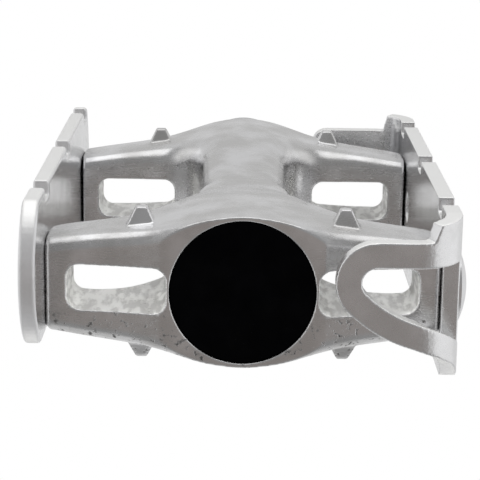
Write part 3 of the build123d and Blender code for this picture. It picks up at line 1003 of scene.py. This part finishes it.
    def refine(self, piece: Object) -> None:
        """Brings what stands over the waist's top down to it.

        Args:
            piece: the remeshed body.
        """
        points = np.empty(len(piece.data.vertices) * 3, np.float32)
        piece.data.vertices.foreach_get("co", points)
        points = points.reshape(-1, 3)
        x, y, z = points[:, 0] / MM, points[:, 1] / MM - self.middle, points[:, 2] / MM
        start, end = self.top_y
        inside = (np.abs(x) < self.top_half) & (y > start) & (y < end)
        level = np.where(inside, np.minimum(np.abs(z), self.top(x, y)), np.abs(z))
        points[:, 2] = np.sign(z) * level * MM
        piece.data.vertices.foreach_set("co", points.ravel())
        piece.data.update()


@dataclass
class FrontPlate(Rounded):
    """The front cage plate with its inboard flap ending higher, as the photograph shows it.

    Sizes are in millimetres, apart from the voxel.

    Attributes:
        flap_x: the flap's range of x, with room at its free end.
        flap_y: its range of y, with room.
        flap_z: the range of z in which it is cut off.
    """

    flap_x: Pair = (2.0, 26.8)
    flap_y: Pair = (-24.0, 2.0)
    flap_z: Pair = (-20.0, -0.6)

    def shape(self, piece: Object) -> None:
        """Cuts the flap off below its new edge.

        Args:
            piece: the copy of the plate.
        """
        (left, right), (near, far) = self.flap_x, self.flap_y
        plan = ((left, near), (right, near), (right, far), (left, far))
        rings = np.array([[(x, y, z) for x, y in plan] for z in self.flap_z])
        self.carve(piece, {ring_object("flap_tool", rings): "DIFFERENCE"})


@dataclass
class Spindle(Wearer):
    """The spindle as one turned surface, with the thread cut into it and two wrench flats.

    Sizes are in millimetres, and y is counted from the crank's face.

    Attributes:
        outline: radius and y up to the wrench flats, outboard end first.
        shoulder_radius: radius of the part with the flats.
        centre_radius: radius of the centre hole in the thread's end.
        centre_depth: its depth.
        thread_radius: outer radius of the crank thread.
        thread_length: length of the thread from the shoulder.
        thread_chamfer: chamfer on its end.
        thread_pitch: advance per turn, 20 threads to the inch.
        thread_depth: depth of the groove.
        flat_span: distance between the wrench flats.
        flat_low: outboard end of the flats.
        flat_high: inboard end of the flats.
        flat_reach: radius outside which the flats are cut.
        columns: vertices round the axis.
    """

    outline: Line = (
        *((0.0, -88.9), (1.6, -91.1), (3.48, -91.1), (3.98, -90.6), (3.98, -65.7), (4.98, -65.7)),
        *((4.98, -21.6), (7.4, -21.6), (7.4, -17.7), (9.9, -17.7), (10.2, -17.4), (10.2, -15.9)),
        *((9.6, -15.3), (7.0, -15.3), (6.5, -14.8), (6.5, -9.5), (7.0, -9.0), (8.75, -9.0)),
    )
    shoulder_radius: float = 9.25
    centre_radius: float = 1.6
    centre_depth: float = 2.2
    thread_radius: float = 7.144
    thread_length: float = 12.5
    thread_chamfer: float = 1.0
    thread_pitch: float = 1.27
    thread_depth: float = 0.74
    flat_span: float = 15.0
    flat_low: float = -9.0
    flat_high: float = -1.5
    flat_reach: float = 7.2
    columns: int = 144

    def profile(self) -> Array:
        """The whole outline as radius and y, finely divided at the flats and the thread.

        Returns:
            One point per row.
        """
        heights = [self.flat_low + 0.5, *np.linspace(self.flat_low + 0.6, self.flat_high - 0.02, 12)]
        flats = [(self.shoulder_radius, y) for y in (*heights, self.flat_high, -0.2)]
        end = self.thread_length - self.thread_chamfer
        thread = [(self.thread_radius, y) for y in (0.0, *np.linspace(0.05, end, 160))]
        cuts = self.thread_chamfer * np.linspace(0.1, 1.0, 10)
        chamfer = [(self.thread_radius - cut, end + cut) for cut in cuts]
        hole = [(self.centre_radius, self.thread_length), (0.0, self.thread_length - self.centre_depth)]
        return np.array([*self.outline, *flats, (self.shoulder_radius - 0.2, 0.0), *thread, *chamfer, *hole])

    def build(self) -> None:
        """Turns the profile round the axis, cuts the thread and the flats and dresses the piece.

        The radius at angle a and height y is the profile's radius less the groove's depth times a triangle
        wave of y / pitch + a / turn, which makes a right hand helix. On the flats it is no more than half
        the span over the sine of the angle.
        """
        profile = self.profile()
        angle = np.linspace(0.0, 2 * math.pi, self.columns, endpoint=False)
        radius = np.repeat(profile[:, :1], self.columns, axis=1)
        y = np.repeat(profile[:, 1:], self.columns, axis=1)
        wave = (y / self.thread_pitch + angle[None, :] / (2 * math.pi)) % 1.0
        groove = np.clip(1.25 * (1 - np.abs(2 * wave - 1)) - 0.1, 0.0, 1.0)
        outside = radius > self.thread_radius - self.thread_chamfer - 0.01
        fade = np.clip((y - 0.2) / 0.8, 0.0, 1.0) * outside
        cut = self.thread_radius - self.thread_depth * groove * fade
        on_thread = (y > 0.0) & (radius > self.centre_radius + 0.4)
        radius = np.where(on_thread, np.minimum(radius, cut), radius)
        span = self.flat_span / 2 / np.maximum(np.abs(np.sin(angle)), 1e-6)
        on_flats = (y >= self.flat_low) & (y < self.flat_high) & (radius > self.flat_reach)
        radius = np.where(on_flats, np.minimum(radius, span[None, :]), radius)
        rings = np.stack((radius * np.cos(angle), y, radius * np.sin(angle)), axis=-1)
        piece = ring_object("spindle_finished", rings, lids=False)
        piece.data.shade_smooth()
        piece.data.set_sharp_from_angle(angle=math.radians(24))
        self.dress(piece, "spindle")


@dataclass(frozen=True)
class Lamp:
    """One soft rectangular light.

    Attributes:
        name: the light's name.
        place: where it is, in metres.
        target: the point that it faces.
        size: its width and height.
        power: its power in watts.
        mirrored: whether polished surfaces reflect it.
    """

    name: str
    place: Place
    target: Place
    size: Pair
    power: float
    mirrored: bool

    def build(self) -> None:
        """Makes the light and hides it from the camera."""
        data = bpy.data.lights.new(self.name, "AREA")
        data.shape = "RECTANGLE"
        data.size, data.size_y = self.size
        data.energy = self.power
        lamp = bpy.data.objects.new(self.name, data)
        lamp.location = self.place
        lamp.rotation_mode = "QUATERNION"
        lamp.rotation_quaternion = (Vector(self.target) - Vector(self.place)).to_track_quat("-Z", "Y")
        lamp.visible_camera = False
        lamp.visible_glossy = self.mirrored
        bpy.context.scene.collection.objects.link(lamp)


@dataclass
class Studio:
    """The pale stage, the light round it and the camera.

    Sizes are in metres. The camera's numbers come from the photograph's perspective.

    Attributes:
        eye: where the camera is.
        pitch: how far it looks down, in radians.
        yaw: how far it looks to the right.
        roll: how far it is turned about its axis.
        lens: focal length in millimetres.
        sensor: width of the sensor in millimetres.
        floor_z: height of the floor.
        floor_x: half its width.
        floor_y: its near and far edges.
        back: brightness of the wall behind the object, low down and high up.
        front: brightness in front.
        side: brightness to the sides.
        below: brightness from below.
        above: brightness from above.
        warmth: tint of what lies in front.
        lamps: the two lights.
    """

    eye: Place = (-0.00075, -0.335, 0.0693)
    pitch: float = 0.248
    yaw: float = 0.001
    roll: float = 0.015
    lens: float = 130.1
    sensor: float = 36.0
    floor_z: float = -0.03
    floor_x: float = 0.9
    floor_y: Pair = (-0.15, 1.5)
    back: Pair = (0.75, 0.64)
    front: float = 0.29
    side: float = 0.9
    below: float = 0.65
    above: float = 0.5
    warmth: Colour = (1.0, 0.92, 0.88, 1.0)
    lamps: tuple[Lamp, ...] = (
        Lamp("top", (0.0, -0.1, 0.45), (0.0, -0.05, 0.0), (0.5, 0.35), 0.4, True),
        Lamp("front", (0.0, -0.62, 0.24), (0.0, -0.06, 0.0), (0.8, 0.16), 5.5, False),
    )

    def camera(self) -> None:
        """Makes the camera and looks through it."""
        level_reach = math.cos(self.pitch)
        ahead = Vector(
            (math.sin(self.yaw) * level_reach, math.cos(self.yaw) * level_reach, -math.sin(self.pitch))
        )
        level = Vector((math.cos(self.yaw), -math.sin(self.yaw), 0.0))
        upright = level.cross(ahead)
        right = level * math.cos(self.roll) + upright * math.sin(self.roll)
        up = upright * math.cos(self.roll) - level * math.sin(self.roll)
        data = bpy.data.cameras.new("camera")
        data.lens = self.lens
        data.sensor_width = self.sensor
        data.clip_start = 0.01
        data.clip_end = 20.0
        camera = bpy.data.objects.new("camera", data)
        camera.matrix_world = Matrix((right, up, -ahead)).transposed().to_4x4()
        camera.location = self.eye
        bpy.context.scene.collection.objects.link(camera)
        bpy.context.scene.camera = camera

    def world(self) -> None:
        """Lights the object from all round: pale above, behind and at the sides, and dim in front."""
        world = bpy.data.worlds.new("studio")
        bpy.context.scene.world = world
        world.use_nodes = True
        tree = Tree(world.node_tree)
        across, depth, height = tree.parts(tree.add("ShaderNodeTexCoord").outputs["Generated"])
        wall = tree.ramp(height, -0.1, 0.12, *self.back)
        wall = tree.maths("MULTIPLY", tree.ramp(depth, -0.1, 0.45), wall)
        level = tree.maths("MAXIMUM", wall, self.front)
        for share, brightness in (
            (tree.ramp(tree.maths("ABSOLUTE", across), 0.45, 0.85), self.side),
            (tree.ramp(height, -0.8, -0.95), self.below),
            (tree.ramp(height, 0.72, 0.9), self.above),
        ):
            level = tree.maths("MAXIMUM", level, tree.maths("MULTIPLY", share, brightness))
        warm = tree.maths("MULTIPLY", tree.ramp(depth, -0.6, -0.9), tree.ramp(height, 0.3, 0.0))
        tint = tree.mix(warm, WHITE, self.warmth)
        dome = tree.add("ShaderNodeBackground", {"Color": tint, "Strength": level})
        white = tree.add("ShaderNodeBackground", {"Color": WHITE, "Strength": 1.0})
        seen = tree.add("ShaderNodeLightPath").outputs["Is Camera Ray"]
        both = tree.add("ShaderNodeMixShader", {0: seen, 1: dome.outputs[0], 2: white.outputs[0]})
        tree.add("ShaderNodeOutputWorld", {"Surface": both.outputs[0]})

    def floor(self) -> None:
        """Lays a pale floor under and behind the object, white to the camera and clear from below."""
        near, far = self.floor_y
        plan = ((-self.floor_x, near), (self.floor_x, near), (self.floor_x, far), (-self.floor_x, far))
        corners = np.array([(x, y, self.floor_z) for x, y in plan]) / MM
        sheet = mesh_object("floor", corners, np.array([[0, 1, 2, 3]]))
        material = bpy.data.materials.new("Floor")
        material.use_nodes = True
        tree = Tree(material.node_tree)
        pale = tree.add("ShaderNodeBsdfDiffuse", {"Color": (0.8, 0.8, 0.8, 1.0)})
        white = tree.add("ShaderNodeEmission", {"Color": WHITE, "Strength": 1.0})
        clear = tree.add("ShaderNodeBsdfTransparent")
        seen = tree.add("ShaderNodeLightPath").outputs["Is Camera Ray"]
        below = tree.maths("MULTIPLY", tree.add("ShaderNodeNewGeometry").outputs["Backfacing"], seen)
        both = tree.add("ShaderNodeMixShader", {0: seen, 1: pale.outputs[0], 2: white.outputs[0]})
        sided = tree.add("ShaderNodeMixShader", {0: below, 1: both.outputs[0], 2: clear.outputs[0]})
        tree.add("ShaderNodeOutputMaterial", {"Surface": sided.outputs[0]})
        sheet.data.materials.append(material)
        sheet.visible_glossy = False
        sheet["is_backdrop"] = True

    def build(self) -> None:
        """Sets up the whole studio."""
        self.camera()
        self.world()
        self.floor()
        for lamp in self.lamps:
            lamp.build()
        bpy.context.scene.view_settings.view_transform = "Standard"


def main() -> None:
    """Builds and dresses every piece, in order, and lights the scene."""
    materials = make_finishes()
    finished = (
        CastBody("pedal", Slot.CAST, materials, "pedal_body"),
        Rounded("pedal", Slot.SHEET, materials, "rear_cage_plate"),
        FrontPlate("pedal", Slot.SHEET, materials, "front_cage_plate"),
    )
    replaced = {"spindle", *(piece.node for piece in finished)}
    slots = {row["node"]: row["material_slot"] for row in frame["record"]["subparts"]}
    for body, nodes in frame["record"]["behaviour"]["bodies"].items():
        for node in nodes:
            if node not in replaced:
                CadNode(body, Slot(slots[node]), materials, node).build()
    for piece in finished:
        piece.build()
    Spindle("spindle", Slot.SPINDLE, materials).build()
    Studio().build()
    limits = [list(corner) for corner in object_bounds()]
    log(f"limits: {limits}")


if __name__ == "__main__":
    main()
